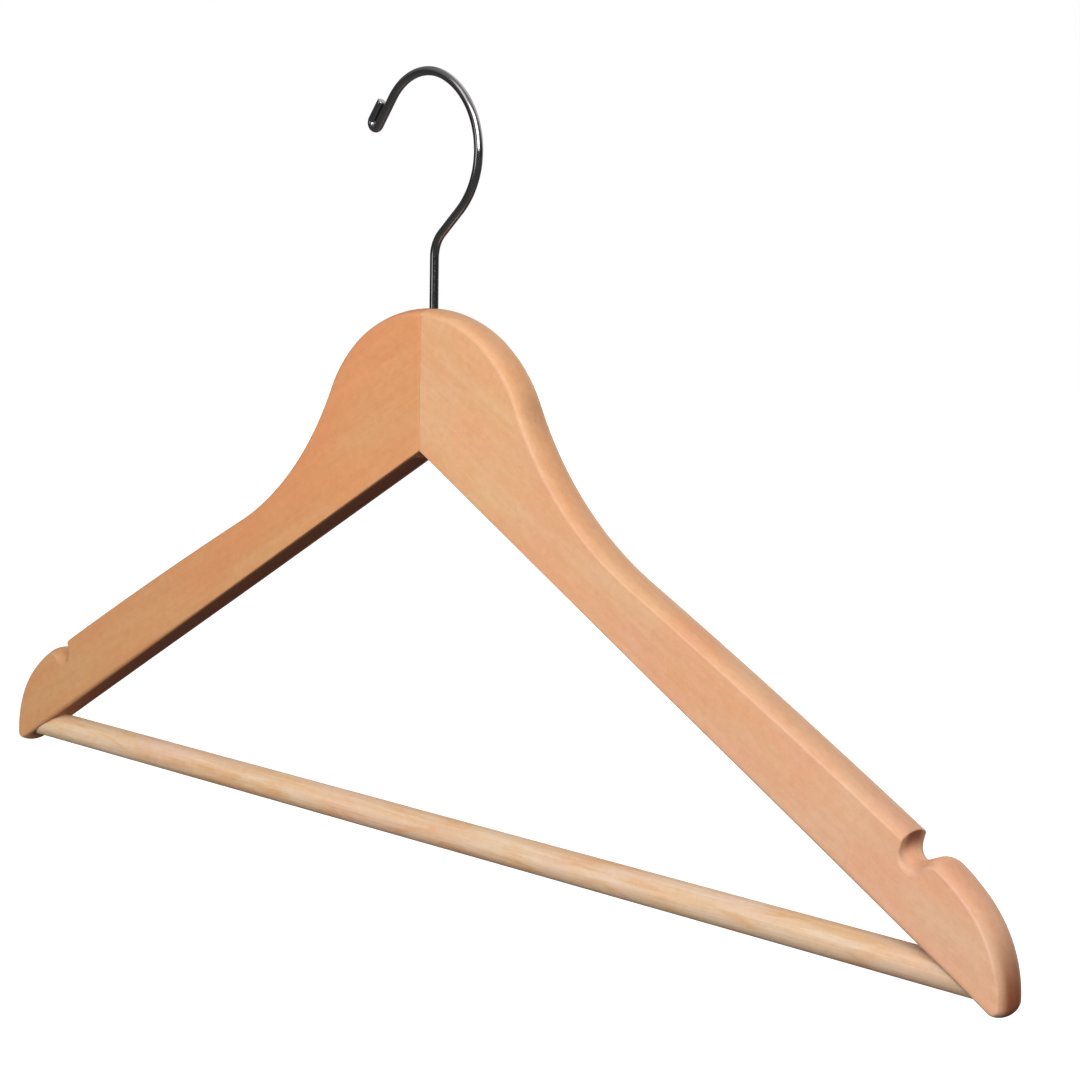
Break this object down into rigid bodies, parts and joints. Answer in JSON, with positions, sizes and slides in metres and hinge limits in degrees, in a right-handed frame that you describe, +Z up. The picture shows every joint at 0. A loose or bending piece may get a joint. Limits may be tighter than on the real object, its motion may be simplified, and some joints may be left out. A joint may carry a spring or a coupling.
{
  "type": "clothes hanger",
  "caption": "Wooden suit hanger with rounded shoulders, strap notches, a round trouser bar and a swivelling wire hook with a folded end.",
  "frame": {"origin": "the rail seat: the underside of the hook's loop, right above the shank, where the hanger hangs on a rail", "axes": "+Z up along the shank, +X to the right along the hanger's length as seen from the front, -Y towards the viewer of the front"},
  "size_m": [0.43, 0.012, 0.2464],
  "materials": {
    "left_wood": "clear satin lacquer on warm orange-brown wood",
    "right_wood": "clear satin lacquer on lighter pinkish wood",
    "bar_wood": "clear satin lacquer on pale wood",
    "bright_wire": "polished plated steel wire",
    "plated_steel": "zinc-plated steel",
    "brad_steel": "bright steel"
  },
  "bodies": {
    "hook_set": {"hook": "bright_wire", "hook_washer": "plated_steel", "hook_nut": "plated_steel"},
    "hanger_body": {"left_arm": "left_wood", "right_arm": "right_wood", "trouser_bar": "bar_wood", "bar_brad_left": "brad_steel", "bar_brad_right": "brad_steel"}
  },
  "joints": [
    {"name": "body_swivel", "type": "hinge", "parent": "hook_set", "child": "hanger_body", "pos_m": [0, 0, 0], "axis": [0, 0, 1], "continuous": true}
  ]
}
